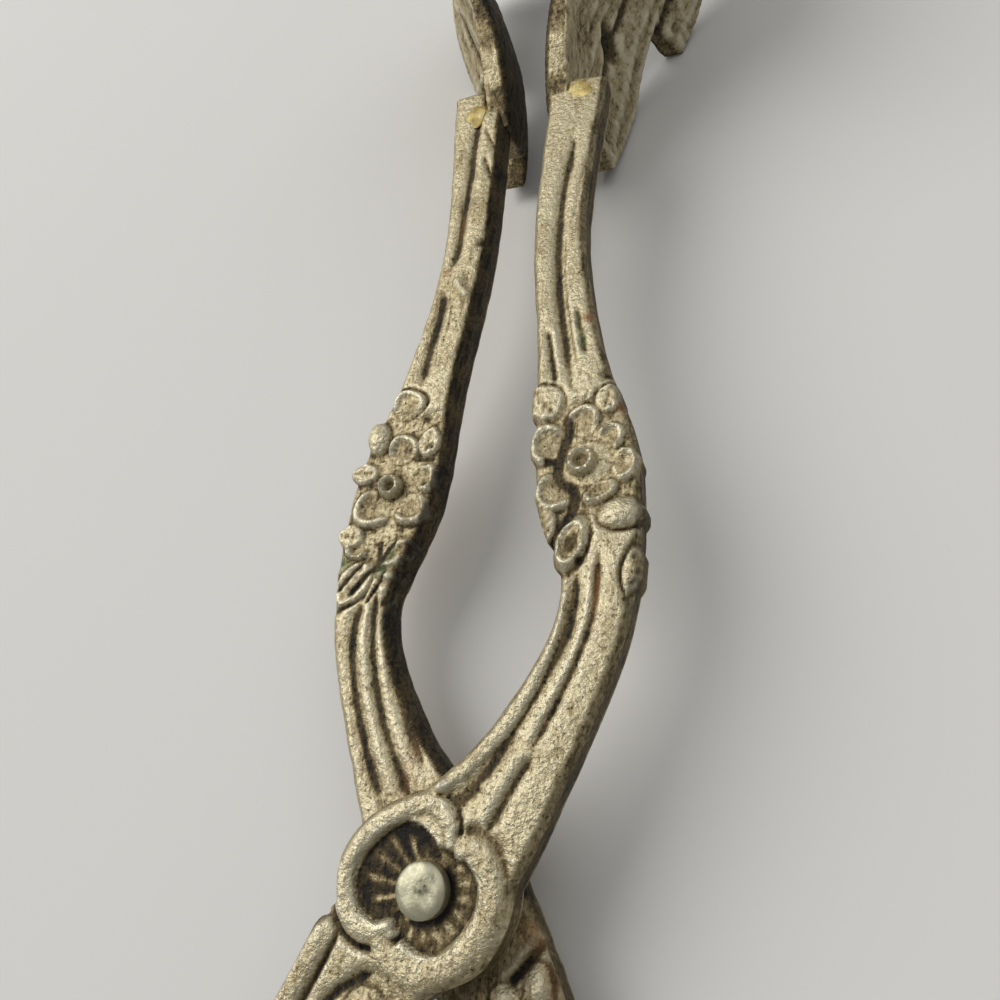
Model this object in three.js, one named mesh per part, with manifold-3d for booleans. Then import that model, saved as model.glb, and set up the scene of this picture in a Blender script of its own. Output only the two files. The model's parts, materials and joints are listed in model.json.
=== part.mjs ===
// Scissor-type sugar tongs. Two cast levers cross at a rivet. Each lever ends in a finger bow
// and in a cupped, pierced leaf grip whose tang is brazed beside the end of the arm.
// Millimetres, +Z up, +Y from the bows to the grips, in the pose in which the tongs lie on a table.

import * as THREE from 'three';
import { mergeVertices } from 'three/addons/utils/BufferGeometryUtils.js';
import Module from 'manifold-3d';

const wasm = await Module();
wasm.setup();

// Driving dimensions of a lever's section
const leverThickness = 2.9;
const leverGap = 0.3; // between the two levers where they cross
const flatReach = 10; // each side of the rivet a lever stays flat, then eases to the mid plane
const reedDepth = 0.7; // depth of the two grooves along an arm
const edgeDrop = 0.7; // from a rim's crest down to the lever's edge
const groundDrop = 0.6; // from a rim's crest down to the ground of an ornament
const rimShare = 0.74; // where a rim's crest lies on the half width
const valleyShare = 0.38; // where a groove's floor lies on the half width
const reedEase = 2.5; // length over which the reeding runs out

// Places along the arm: along and aside are measured from the rivet's axis
const crossing = { along: 8.4, aside: 5.8, width: 5.9 };
const elbow = { along: 18, aside: 9.5, width: 4.5 };
const flower = { along: 28.3, aside: 8.3, width: 8 };
const taper = { along: 38.5, aside: 6.3, width: 5.1 };
const shank = { along: 51, aside: 4.5, width: 4.4 };
const armEnd = { along: 70.5, aside: 5, width: 5.4 };

// Places along the handle, on the other side of the rivet
const pivotWidth = 9.2;
const stem = { along: -7, aside: -5.6, width: 6.6 };
const handle = { along: -15.5, aside: -10.3, width: 4.8 };
const bow = { along: -39, aside: -14.2, length: 27.2, width: 22.4, band: 3.4 };

// Ornament: the flower's parts, the two scrolls round the rivet and the bosses on the handle
const flowerRing = { radius: 1.15, band: 0.5 };
const petal = { count: 5, reach: 2.75, radius: 1.3, height: 0.9 };
const plainEnd = 4; // length of the arm's end without reeding
const leaf = { reach: 6.2, spread: 1.4, length: 2.6, width: 1.15, height: 0.8 };
const upperScroll = { aside: -2, along: 0.6, radius: 3.5, start: 43, sweep: 212 };
const lowerScroll = { aside: 1.2, along: -1, radius: 3.5, start: -150, sweep: 215 };
const scrollBand = 0.8;
const handleBoss = { along: -6.2, aside: -3.1, radius: 1.5, height: 0.7 };
const bowBoss = { radius: 2.7, height: 0.6 };

// Rivet
const rivetShank = 2.5;
const rivetClearance = 0.1;
const rivetHead = { diameter: 3.3, height: 0.95, dome: 0.35 };
const rivetTail = { diameter: 4.2, height: 0.7, dome: 0.3 };
const domeShoulder = { out: 0.7, drop: 0.2 }; // point on a head's dome, as shares of radius and dome

// Grips: a tang beside the arm's end, and a leaf cupped outwards, seen from the side as an ellipse
const jawGap = 3.6; // between the two tangs in the photographed pose
const seatGap = 0.3; // between brazed faces
const tang = { thickness: 2.3, lap: 2.6, reach: 9 };
const leafLength = 52;
const leafWidth = 30;
const leafRoot = 6; // from the arm's end to the point where the leaf's ribs start
const leafTip = 45; // from the arm's end to the leaf's tip
const leafThickness = 2;
const cupDepth = 10.4;
const cupSkew = 1.9; // above 1 the cup is deepest nearer to its tip
const edgeCurl = 5; // how far the leaf's long edges curl outwards
const leafRise = 0.54; // slope of the leaf's upper edge where it leaves the tang
const piercing = { reach: 0.62, length: 5.2, width: 2.2, turns: [-14, 14, 36] };

// Leaflets with tips that point back to the handles. Each starts in a notch at its front and widens to its
// tip: both are given in degrees off the leaf's middle rib, and as shares of the leaf's ellipse.
const leaflets = [
  { front: -50, tip: -130, notch: 0.58, reach: 1.05 },
  { front: -20, tip: -50, notch: 0.72, reach: 0.86 },
  { front: 20, tip: 45, notch: 0.8, reach: 1 },
];
const braze = { across: 1.05, along: 0.7, up: 1.2 };

// Fineness of the round forms
const stripSteps = 46;
const bowSteps = 36;
const scrollSteps = 14;
const roundSides = 20;
const bandSides = 6;
const moundSides = 10;
const moundRows = 6;
const leafColumnTurn = 5;
const leafRows = 5;

// Materials
const castMetal = () => new THREE.MeshStandardMaterial({ color: 0xb5a588, roughness: 0.45, metalness: 1 });
const rivetMetal = () => new THREE.MeshStandardMaterial({ color: 0xc9c4b8, roughness: 0.4, metalness: 1 });
const brazeMetal = () => new THREE.MeshStandardMaterial({ color: 0xcaa654, roughness: 0.4, metalness: 1 });

// Signed volume of a closed indexed geometry, positive when its faces point out
function signedVolume(geometry) {
  const position = geometry.getAttribute('position');
  const index = geometry.getIndex();
  const corner = [new THREE.Vector3(), new THREE.Vector3(), new THREE.Vector3()];
  let volume = 0;
  for (let i = 0; i < index.count; i += 3) {
    corner.forEach((point, k) => point.fromBufferAttribute(position, index.getX(i + k)));
    volume += corner[0].dot(corner[1].clone().cross(corner[2])) / 6;
  }
  return volume;
}

// The same surface with its faces pointing out
function outward(geometry) {
  if (signedVolume(geometry) < 0) {
    geometry.setIndex(Array.from(geometry.getIndex().array).reverse());
  }
  return geometry;
}

// A position-only geometry with its shared vertices merged
function merged(geometry) {
  geometry.deleteAttribute('normal');
  geometry.deleteAttribute('uv');
  return outward(mergeVertices(geometry, 1e-4));
}

function solidOf(geometry) {
  const clean = merged(geometry);
  const mesh = new wasm.Mesh({
    numProp: 3,
    vertProperties: new Float32Array(clean.getAttribute('position').array),
    triVerts: new Uint32Array(clean.getIndex().array),
  });
  return new wasm.Manifold(mesh);
}

function geometryOf(solid) {
  const mesh = solid.getMesh();
  const geometry = new THREE.BufferGeometry();
  geometry.setAttribute('position', new THREE.Float32BufferAttribute(mesh.vertProperties, 3));
  geometry.setIndex(Array.from(mesh.triVerts));
  return geometry;
}

function joined(geometries) {
  return geometries.map(solidOf).reduce((whole, solid) => whole.add(solid));
}

// Skin over a row of rings with the same number of points, closed into a loop or capped at both ends
function loft(rings, closed) {
  const points = rings.flat();
  const sides = rings[0].length;
  const faces = [];
  const spans = closed ? rings.length : rings.length - 1;
  for (let i = 0; i < spans; i += 1) {
    const here = i * sides;
    const next = ((i + 1) % rings.length) * sides;
    for (let j = 0; j < sides; j += 1) {
      const k = (j + 1) % sides;
      faces.push(here + j, next + j, here + k, here + k, next + j, next + k);
    }
  }
  if (!closed) {
    const caps = [{ ring: 0, flip: true }, { ring: rings.length - 1, flip: false }];
    for (const { ring, flip } of caps) {
      const middle = rings[ring].reduce((sum, p) => sum.add(p), new THREE.Vector3()).divideScalar(sides);
      const centre = points.push(middle) - 1;
      for (let j = 0; j < sides; j += 1) {
        const a = ring * sides + j;
        const b = ring * sides + ((j + 1) % sides);
        faces.push(...(flip ? [centre, a, b] : [centre, b, a]));
      }
    }
  }
  const geometry = new THREE.BufferGeometry().setFromPoints(points);
  geometry.setIndex(faces);
  return outward(geometry);
}

// Levers are drawn flat about their own mid plane, with the arm on the +X side
const top = leverThickness / 2;
const ground = top - groundDrop;
const bottom = -leverThickness / 2;
const bowTop = { along: bow.along + bow.length / 2, aside: bow.aside, width: bow.band };

// Height of a lever's mid plane above the tongs' mid plane: the levers are stacked at the rivet,
// and level with each other at the grips and at the bows
function leverLevel(along) {
  const far = along > 0 ? armEnd.along : -bowTop.along;
  const eased = THREE.MathUtils.smoothstep(Math.abs(along), flatReach, far);
  return ((leverThickness + leverGap) / 2) * (1 - eased);
}

// Share of the reeding that shows: none at the rivet, under the flower and at the arm's end
function reeding(along) {
  const clearOf = (middle, half) => {
    const distance = Math.abs(along - middle);
    return THREE.MathUtils.smoothstep(distance, half, half + reedEase);
  };
  const atRivet = clearOf(0, crossing.along - reedEase);
  const atFlower = clearOf(flower.along, leaf.reach);
  const atEnd = clearOf(armEnd.along, plainEnd);
  return atRivet * atFlower * atEnd;
}

// Section of a lever from its lower left corner round: two rims and a middle reed over a flat back
function leverSection(half, along) {
  const shown = reeding(along);
  const crest = THREE.MathUtils.lerp(ground, top, shown);
  const groove = crest - reedDepth * shown;
  const rim = rimShare * half;
  const valley = valleyShare * half;
  return [
    [-half, bottom], [half, bottom], [half, crest - edgeDrop], [rim, crest], [valley, groove],
    [0, crest], [-valley, groove], [-rim, crest], [-half, crest - edgeDrop],
  ];
}

// Arm, pivot and handle as one strip that ends on the bow's band
function leverStrip() {
  const pivot = { along: 0, aside: 0, width: pivotWidth };
  const places = [armEnd, shank, taper, flower, elbow, crossing, pivot, stem, handle, bowTop];
  const route = new THREE.CatmullRomCurve3(
    places.map((p) => new THREE.Vector3(p.aside, p.along, p.width / 2)),
    false,
    'centripetal',
  );
  const rings = [];
  for (let i = 0; i <= stripSteps; i += 1) {
    const at = route.getPoint(i / stripSteps);
    const run = route.getTangent(i / stripSteps).setZ(0).normalize();
    const ring = leverSection(at.z, at.y).map(
      ([across, up]) => new THREE.Vector3(at.x + run.y * across, at.y - run.x * across, up),
    );
    rings.push(ring);
  }
  return loft(rings, false);
}

// Oval finger bow with a flat back and a rounded front
function bowRing() {
  const half = bow.band / 2;
  const section = [
    [-half, bottom], [half, bottom], [half, top - edgeDrop], [half / 2, top],
    [-half / 2, top], [-half, top - edgeDrop],
  ];
  const rings = [];
  for (let i = 0; i < bowSteps; i += 1) {
    const turn = (i / bowSteps) * 2 * Math.PI;
    const run = new THREE.Vector2(-Math.sin(turn) * bow.width, Math.cos(turn) * bow.length).normalize();
    const x = bow.aside + (Math.cos(turn) * bow.width) / 2;
    const y = bow.along + (Math.sin(turn) * bow.length) / 2;
    rings.push(section.map(([out, up]) => new THREE.Vector3(x + run.y * out, y - run.x * out, up)));
  }
  return loft(rings, true);
}

// Low mound standing on the lever's ground: across, along and up are its half sizes
function mound(x, y, across, along, up, turn) {
  const geometry = new THREE.SphereGeometry(1, moundSides, moundRows);
  geometry.rotateX(Math.PI / 2);
  geometry.scale(across, along, groundDrop + up);
  geometry.rotateZ(turn);
  return geometry.translate(x, y, ground);
}

function disc(x, y, radius, low, high) {
  const geometry = new THREE.CylinderGeometry(radius, radius, high - low, roundSides);
  geometry.rotateX(Math.PI / 2);
  return geometry.translate(x, y, (low + high) / 2);
}

// Flower with a ring in its middle, round petals, and a pair of leaves at each end,
// which follow the arm as it leans between the elbow and the taper
function flowerCluster() {
  const pieces = [];
  const lean = (leaf.reach * (elbow.aside - taper.aside)) / (taper.along - elbow.along);
  const ring = new THREE.TorusGeometry(flowerRing.radius, flowerRing.band, bandSides, roundSides);
  pieces.push(ring.translate(flower.aside, flower.along, top));
  for (let i = 0; i < petal.count; i += 1) {
    const turn = (i / petal.count + 0.25) * 2 * Math.PI;
    const x = flower.aside + petal.reach * Math.cos(turn);
    const y = flower.along + petal.reach * Math.sin(turn);
    pieces.push(mound(x, y, petal.radius, petal.radius, petal.height, 0));
  }
  for (const end of [-1, 1]) {
    for (const hand of [-1, 1]) {
      const turn = Math.atan2(leaf.spread * hand, leaf.reach) * -end;
      const x = flower.aside + leaf.spread * hand - lean * end;
      pieces.push(mound(x, flower.along + leaf.reach * end, leaf.width, leaf.length, leaf.height, turn));
    }
  }
  return pieces;
}

// Raised C-shaped rim on a round boss
function scroll({ aside, along, radius, start, sweep }) {
  const rings = [];
  for (let i = 0; i <= scrollSteps; i += 1) {
    const turn = THREE.MathUtils.degToRad(start + (sweep * i) / scrollSteps);
    const ring = [];
    for (let j = 0; j < bandSides; j += 1) {
      const round = (j / bandSides) * 2 * Math.PI;
      const reach = radius + scrollBand * Math.cos(round);
      ring.push(new THREE.Vector3(
        aside + reach * Math.cos(turn),
        along + reach * Math.sin(turn),
        ground + groundDrop / 2 + scrollBand * Math.sin(round),
      ));
    }
    rings.push(ring);
  }
  return [loft(rings, false), disc(aside, along, radius + scrollBand, bottom, ground)];
}

// Pocket that takes the grip's tang beside the arm's end, and the bore for the rivet
const tangInner = jawGap / 2;
const tangOuter = tangInner + tang.thickness;
const tangStart = armEnd.along - tang.lap;

function tangPocket() {
  const deep = armEnd.width + tangOuter;
  const long = 2 * tang.lap;
  const geometry = new THREE.BoxGeometry(deep, long, 2 * leverThickness);
  return geometry.translate(tangOuter + seatGap - deep / 2, tangStart - seatGap + long / 2, 0);
}

const boreRadius = rivetShank / 2 + rivetClearance;

// A whole lever: side is +1 with the arm at +X, tier is +1 for the one that lies on top
function leverGeometry(side, tier) {
  const pieces = [leverStrip(), bowRing(), ...flowerCluster()];
  const onBow = [bowTop.aside, bowTop.along, bowBoss.radius, bowBoss.radius, bowBoss.height, 0];
  pieces.push(mound(...onBow));
  const { aside, along, radius, height } = handleBoss;
  pieces.push(disc(0, 0, pivotWidth / 2, bottom, ground));
  if (tier > 0) {
    pieces.push(...scroll(upperScroll), ...scroll(lowerScroll));
    pieces.push(mound(aside, along, radius, radius, height, 0));
  }
  const cut = joined([tangPocket(), disc(0, 0, boreRadius, -leverThickness, leverThickness)]);
  const geometry = geometryOf(joined(pieces).subtract(cut));
  const position = geometry.getAttribute('position');
  for (let i = 0; i < position.count; i += 1) {
    const raised = Math.max(position.getZ(i), bottom) + tier * leverLevel(position.getY(i));
    position.setXYZ(i, side * position.getX(i), position.getY(i), raised);
  }
  return outward(geometry);
}

// Rivet: a domed head over the top lever's ground, and a peened tail under the lower lever
function rivetGeometry() {
  const headSeat = leverGap / 2 + leverThickness - groundDrop + leverGap;
  const tailSeat = -(leverGap / 2 + leverThickness + leverGap);
  const headRadius = rivetHead.diameter / 2;
  const tailRadius = rivetTail.diameter / 2;
  const headTop = headSeat + rivetHead.height;
  const tailEnd = tailSeat - rivetTail.height;
  const outline = [
    [0, tailEnd],
    [domeShoulder.out * tailRadius, tailEnd + domeShoulder.drop * rivetTail.dome],
    [tailRadius, tailEnd + rivetTail.dome],
    [tailRadius, tailSeat],
    [rivetShank / 2, tailSeat],
    [rivetShank / 2, headSeat],
    [headRadius, headSeat],
    [headRadius, headTop - rivetHead.dome],
    [domeShoulder.out * headRadius, headTop - domeShoulder.drop * rivetHead.dome],
    [0, headTop],
  ];
  const geometry = new THREE.LatheGeometry(outline.map(([r, z]) => new THREE.Vector2(r, z)), roundSides);
  geometry.rotateX(Math.PI / 2);
  return merged(geometry);
}

// Leaf of a grip, drawn on the +X side. The leaf's outline is an ellipse cut into leaflets.
const ribStart = armEnd.along + leafRoot;
const tipAlong = armEnd.along + leafTip;
const leafMiddle = tipAlong - leafLength / 2;

// Distance from the ribs' start to the ellipse in a direction given in degrees off the +Y axis
function ellipseReach(degrees) {
  const turn = THREE.MathUtils.degToRad(degrees);
  const y = Math.cos(turn) / (leafLength / 2);
  const z = Math.sin(turn) / (leafWidth / 2);
  const behind = (ribStart - leafMiddle) / (leafLength / 2);
  const a = y * y + z * z;
  const b = y * behind;
  return (-b + Math.sqrt(b * b + a * (1 - behind * behind))) / a;
}

// The leaf's upper edge rises in a straight line from the tang's upper corner to the top leaflet's tip
const riseHeight = leverThickness / 2 + leafRise * (ribStart - tangStart);
const riseStart = THREE.MathUtils.radToDeg(Math.atan2(leverThickness / 2, tangStart - ribStart));

function leafReach(degrees) {
  let share = 1;
  for (const { front, tip, notch, reach } of leaflets) {
    const along = (degrees - front) / (tip - front);
    if (along > 0 && along <= 1) {
      share = THREE.MathUtils.lerp(notch, reach, Math.sqrt(along));
    }
  }
  const cut = share * ellipseReach(degrees);
  const turn = THREE.MathUtils.degToRad(degrees);
  const climb = Math.sin(turn) - leafRise * Math.cos(turn);
  return climb > 0 ? Math.min(cut, riseHeight / climb) : cut;
}

// Sideways place of the leaf's inner face
function cupFace(along, up) {
  const share = THREE.MathUtils.clamp((along - armEnd.along) / leafTip, 0, 1);
  const curl = edgeCurl * ((2 * up) / leafWidth) ** 2;
  return tangInner + cupDepth * Math.sin(Math.PI * share ** cupSkew) + curl;
}

function leafPlate() {
  const lowest = Math.min(...leaflets.map(({ tip }) => tip));
  const columns = Math.ceil((riseStart - lowest) / leafColumnTurn);
  const points = [];
  const add = (along, up, thick) => {
    points.push(new THREE.Vector3(cupFace(along, up) + thick, along, up));
    return points.length - 1;
  };
  const skin = (thick) => {
    const root = add(ribStart, 0, thick);
    const grid = [];
    for (let j = 0; j <= columns; j += 1) {
      const degrees = Math.min(lowest + leafColumnTurn * j, riseStart);
      const turn = THREE.MathUtils.degToRad(degrees);
      const reach = leafReach(degrees);
      const column = [root];
      for (let i = 1; i <= leafRows; i += 1) {
        const r = (reach * i) / leafRows;
        column.push(add(ribStart + r * Math.cos(turn), r * Math.sin(turn), thick));
      }
      grid.push(column);
    }
    return grid;
  };
  const inner = skin(0);
  const outer = skin(leafThickness);
  const faces = [];
  const quad = (a, b, c, d) => faces.push(a, b, c, a, c, d);
  for (let j = 0; j < columns; j += 1) {
    faces.push(inner[j][0], inner[j][1], inner[j + 1][1], outer[j][0], outer[j + 1][1], outer[j][1]);
    for (let i = 1; i < leafRows; i += 1) {
      quad(inner[j][i], inner[j][i + 1], inner[j + 1][i + 1], inner[j + 1][i]);
      quad(outer[j][i], outer[j + 1][i], outer[j + 1][i + 1], outer[j][i + 1]);
    }
    quad(inner[j][leafRows], outer[j][leafRows], outer[j + 1][leafRows], inner[j + 1][leafRows]);
  }
  for (let i = 0; i < leafRows; i += 1) {
    quad(inner[0][i], outer[0][i], outer[0][i + 1], inner[0][i + 1]);
    quad(inner[columns][i], inner[columns][i + 1], outer[columns][i + 1], outer[columns][i]);
  }
  const geometry = new THREE.BufferGeometry().setFromPoints(points);
  geometry.setIndex(faces);
  return outward(geometry);
}

// Oval hole through the leaf
function leafPiercing(degrees) {
  const [halfLength, halfWidth] = [piercing.length / 2, piercing.width / 2];
  const outline = new THREE.Shape().absellipse(0, 0, halfLength, halfWidth, 0, 2 * Math.PI);
  const deep = 2 * (tangOuter + cupDepth + edgeCurl + leafThickness);
  const settings = { depth: deep, bevelEnabled: false, curveSegments: moundRows };
  const geometry = new THREE.ExtrudeGeometry(outline, settings);
  const turn = THREE.MathUtils.degToRad(degrees);
  const reach = piercing.reach * ellipseReach(degrees);
  geometry.translate(0, 0, -deep / 2);
  geometry.rotateZ(turn);
  const ySideways = new THREE.Matrix4().makeBasis(
    new THREE.Vector3(0, 1, 0),
    new THREE.Vector3(0, 0, 1),
    new THREE.Vector3(1, 0, 0),
  );
  geometry.applyMatrix4(ySideways);
  return geometry.translate(0, ribStart + reach * Math.cos(turn), reach * Math.sin(turn));
}

function gripGeometry(side) {
  const strap = new THREE.BoxGeometry(tang.thickness, tang.lap + tang.reach, leverThickness);
  strap.translate((tangInner + tangOuter) / 2, tangStart + (tang.lap + tang.reach) / 2, 0);
  const holes = joined(piercing.turns.map(leafPiercing));
  const geometry = geometryOf(joined([strap, leafPlate()]).subtract(holes));
  geometry.scale(side, 1, 1);
  return outward(geometry);
}

// Bead of brazing metal in the corner between the arm's end and the tang
function brazeGeometry(side) {
  const geometry = new THREE.SphereGeometry(1, moundSides, moundRows);
  geometry.scale(braze.across, braze.along, braze.up);
  const x = tangOuter + seatGap + braze.across;
  geometry.translate(side * x, armEnd.along + seatGap + braze.along, 0);
  return merged(geometry);
}

// The pieces, in the tongs' own frame with the rivet's axis on Z
function piece(name, geometry, material) {
  const mesh = new THREE.Mesh(geometry, material);
  mesh.name = name;
  return mesh;
}

const tongs = new THREE.Group();
const frontLever = piece('front_lever', leverGeometry(1, 1), castMetal());
const backLever = piece('back_lever', leverGeometry(-1, -1), castMetal());
const frontGrip = piece('front_grip', gripGeometry(1), castMetal());
const backGrip = piece('back_grip', gripGeometry(-1), castMetal());
const frontBraze = piece('front_braze', brazeGeometry(1), brazeMetal());
const backBraze = piece('back_braze', brazeGeometry(-1), brazeMetal());
const rivet = piece('pivot_rivet', rivetGeometry(), rivetMetal());

const frontHalf = new THREE.Group();
frontHalf.add(frontLever, frontGrip, frontBraze);
const backHalf = new THREE.Group();
backHalf.add(backLever, backGrip, backBraze, rivet);
tongs.add(backHalf, frontHalf);

// The tongs lie on both bows and on the lowest leaflets of both grips
function lowest(mesh, tilt) {
  const position = mesh.geometry.getAttribute('position');
  let low = Infinity;
  for (let i = 0; i < position.count; i += 1) {
    low = Math.min(low, position.getY(i) * Math.sin(tilt) + position.getZ(i) * Math.cos(tilt));
  }
  return low;
}

function restTilt() {
  let level = 0;
  let steep = Math.PI / 6;
  for (let i = 0; i < 40; i += 1) {
    const tilt = (level + steep) / 2;
    if (lowest(frontGrip, tilt) < lowest(frontLever, tilt)) {
      level = tilt;
    } else {
      steep = tilt;
    }
  }
  return level;
}

// The origin is under the middle of the tongs, on the table
tongs.rotation.x = restTilt();
const assembly = new THREE.Group();
assembly.add(tongs);
assembly.updateMatrixWorld(true);
const reach = new THREE.Box3().setFromObject(assembly, true);
tongs.position.set(0, -(reach.min.y + reach.max.y) / 2, -reach.min.z);

export default assembly;
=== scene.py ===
import json
import math

import bpy
import numpy as np
from mathutils import Matrix, Vector

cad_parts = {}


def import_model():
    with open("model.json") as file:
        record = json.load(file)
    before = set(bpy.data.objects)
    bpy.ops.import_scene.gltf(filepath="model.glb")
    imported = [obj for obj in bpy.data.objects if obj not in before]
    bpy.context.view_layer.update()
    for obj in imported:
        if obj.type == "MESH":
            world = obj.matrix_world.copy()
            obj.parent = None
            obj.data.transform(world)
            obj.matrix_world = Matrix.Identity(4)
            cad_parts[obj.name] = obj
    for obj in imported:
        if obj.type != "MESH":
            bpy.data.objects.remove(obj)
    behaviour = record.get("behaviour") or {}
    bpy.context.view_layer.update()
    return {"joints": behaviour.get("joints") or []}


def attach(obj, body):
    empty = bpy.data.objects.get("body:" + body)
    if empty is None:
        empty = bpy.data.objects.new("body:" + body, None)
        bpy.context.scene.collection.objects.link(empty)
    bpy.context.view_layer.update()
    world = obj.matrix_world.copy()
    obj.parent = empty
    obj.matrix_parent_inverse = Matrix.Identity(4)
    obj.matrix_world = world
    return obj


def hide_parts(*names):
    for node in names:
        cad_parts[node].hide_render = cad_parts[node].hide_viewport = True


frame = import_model()

# Shapes are worked out in millimetres in the tongs' own frame: the rivet's axis is Z, the grips lie
# towards +Y. A lever is drawn with its arm on the +X side, and the lower lever is mirrored. A tier or
# side of 1 means the upper lever's half of the tongs, and -1 the lower lever's.
MM = 0.001
hinge = frame["joints"][0]
tilt = math.asin(hinge["axis"][1])
to_world = Matrix.Translation(hinge["pos_m"]) @ Matrix.Rotation(tilt, 4, "X") @ Matrix.Scale(MM, 4)

# Lever
THICKNESS = 2.9
LEVER_GAP = 0.3
FLAT_REACH = 10.0
TOP = THICKNESS / 2
BOTTOM = -THICKNESS / 2
ARM_END = 70.5
ARM_TOP = {1: 69.2, -1: ARM_END}  # the upper lever's arm is ground a little shorter
ARM_REACH = 14.5  # no arm bows out further than this
HUB_RADIUS = 4.6
BOW = {"aside": -14.2, "along": -39.0, "length": 27.2, "width": 22.4, "band": 3.4}
BOW_TOP = BOW["along"] + BOW["length"] / 2

# Places along a lever: aside, along, half width
ROUTE = [
    (5.0, ARM_END, 2.7), (4.5, 51.0, 2.2), (6.3, 38.5, 2.55), (8.3, 28.3, 3.8), (9.6, 18.0, 2.4),
    (5.8, 8.4, 2.95), (0.0, 0.0, HUB_RADIUS), (-5.6, -7.0, 3.3), (-10.3, -15.5, 2.4),
    (BOW["aside"], BOW_TOP, 1.7),
]
ROUTE_STEPS = 60

# Relief of the lever's front
CROWN = {1: 0.14, -1: 0.28}  # how far each lever's front bows up across its width
# Sloping edge on the inner and the outer side: width, fall, and painted shade with a little tarnish,
# darkest on the sides turned away from the key light
EDGE_WIDTH = {1: (0.4, 0.45), -1: (0.7, 0.4)}
EDGE_DROP = {1: (0.35, 0.6), -1: (1.0, 0.35)}
EDGE_PAINTED_SHADE = {1: (0.15, 0.5), -1: (0.85, 0.1)}
BACK_ROUND = 0.5
BACK_LIFT = 0.3
FLOWER_GROUND = 0.8
FLOWER_CLEAN = {1: 0.55, -1: 0.15}  # share of the tarnish and painted shade in the hollows that is left out there
FLOWER_SPAN = {1: (24.6, 33.6), -1: (22.0, 35.0)}  # where each lever's flower has a lowered ground
FLOWER_PITS = {1: (1.0, 2.1), -1: (0.5, 1.6)}  # waviness of that ground where pits start and are full
FLOWER_PROUD = {1: (0.3, 0.3), -1: (0.05, 0.7)}  # how far its forms pass the arm's inner and outer edge
MERGE = 0.08  # softness of the corner where two forms meet

# Round the rivet: raised rims, with half width, heights, how dark they are painted, and the places on their
# crest
UPPER_RIM = {"half": 0.8, "top": 1.62, "foot": 0.75, "shade": 0.0, "crest": [
    (1.45, 2.75), (1.3, 3.5), (0.9, 4.3), (0.2, 4.8), (-0.7, 4.9), (-1.85, 4.5), (-3.35, 3.7), (-4.75, 2.3),
    (-5.5, 0.6), (-5.3, -1.1), (-4.5, -2.2), (-3.3, -2.6), (-2.1, -2.2),
]}
LOWER_RIM = {"half": 1.0, "top": 1.58, "foot": 0.8, "shade": 0.16, "crest": [
    (2.2, 2.35), (3.1, 2.5), (4.0, 1.6), (4.35, 0.4), (4.25, -0.95), (3.55, -2.3), (2.4, -3.6),
    (0.85, -4.5), (-0.8, -4.4), (-2.1, -3.7), (-2.7, -3.0),
]}
INNER_RIM = {"half": 0.6, "top": 1.45, "foot": 1.0, "shade": 0.0, "crest": [
    (0.5, 6.15), (1.85, 7.3), (3.1, 8.65), (4.35, 10.1), (5.6, 12.4), (6.7, 15.4), (7.45, 18.6),
]}
REED = {"half": 0.95, "top": 1.6, "foot": 0.7, "shade": 0.0, "crest": [
    (-6.6, -3.1), (-7.3, -4.8), (-8.15, -6.6), (-9.6, -10.0), (-11.3, -14.0),
]}
UPPER_RECESS = {"at": (-1.9, 0.75), "radius": 3.05, "floor": -0.3}
LOWER_RECESS = {"at": (0.7, -0.45), "radius": 2.95, "floor": 0.4}
RECESS_SPLIT = (-0.843, 0.537)  # direction from the lower recess to the upper one
LAND = 0.8  # height of the ground between the recesses, under the rivet's head
ROUND_PLATE = {"at": (0.3, 0.0), "radius": 5.3}
FLUTES = 18
FLUTE_TURN = math.radians(175)
# Smooth drops: place, half sizes, turn
SCROLL_BLOB = ((0.45, 6.05), (0.75, 0.5), 35)
FRONT_BOSS = ((-2.8, -6.9), (1.5, 1.4), 30)
BACK_BOSSES = [((-6.75, -4.6), (1.35, 0.85), 80), ((-4.7, -5.5), (0.9, 0.9), 0)]
BOSS_HEIGHT = 0.85

# Rivet and bore
BORE = 1.35
SHANK_RADIUS = 1.25
HEAD_RADIUS = 1.65
HEAD_SINK = 0.6  # how far the head's seat lies below the upper lever's front
HEAD_SIDE = 0.92
HEAD_CROWN = 0.32
TAIL_RADIUS = 2.1
TAIL_GAP = 0.05
TAIL_SIDE = 0.4
TAIL_CROWN = 0.45
STAIN = {"at": (0.3, 0.28), "size": (0.98, 0.5), "turn": 42}

# Grip
TANG_INNER = 1.8
TANG_OUTER = 4.1
TANG_START = 67.9
TANG_HALF = 1.45
TANG_END = 79.5
LEAF_LENGTH = 52.0
LEAF_WIDTH = 30.0
LEAF_THICKNESS = 1.35
RIB_START = 76.5
LEAF_TIP = ARM_END + 45.0
LEAF_MIDDLE = LEAF_TIP - LEAF_LENGTH / 2
CUP_DEPTH = 10.4
CUP_SKEW = 1.9
EDGE_CURL = 5.0
LEAF_RISE = 0.54  # slope of the leaf's upper edge where it leaves the tang
BLADE_TIPS = (-20, 20)  # the leaf's middle blade ends in a tip on each side, in degrees off its middle rib
# Leaflets behind the blade: angles of their front and tip, and the reach there as shares of the ellipse
LEAFLETS = [(-50, -130, 0.58, 1.05), (-20, -50, 0.72, 0.86), (20, 45, 0.8, 1.0)]
# Notch between the two lower leaflets: its end, and the slope of its inner side
NOTCH = {"at": (87.5, -8.7), "rise": 0.36}
# Distances of the leaf's creases from its middle rib, where the ribs start
CREASES = (0, 6.2, 12.2, 17.5, 23)
CREASE_SWEEP = 0.3  # slope with which they near the middle rib further on
PIERCING = {"reach": 0.62, "length": 5.2, "width": 2.2, "turns": (-14, 14, 36)}
HOLLOW = {"at": (81.3, -4.6), "size": (2.7, 1.4), "turn": -104, "depth": 0.8}
FILED = (69.4, 72.6)  # stretch of the leaf's upper edge that was filed bright

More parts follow.
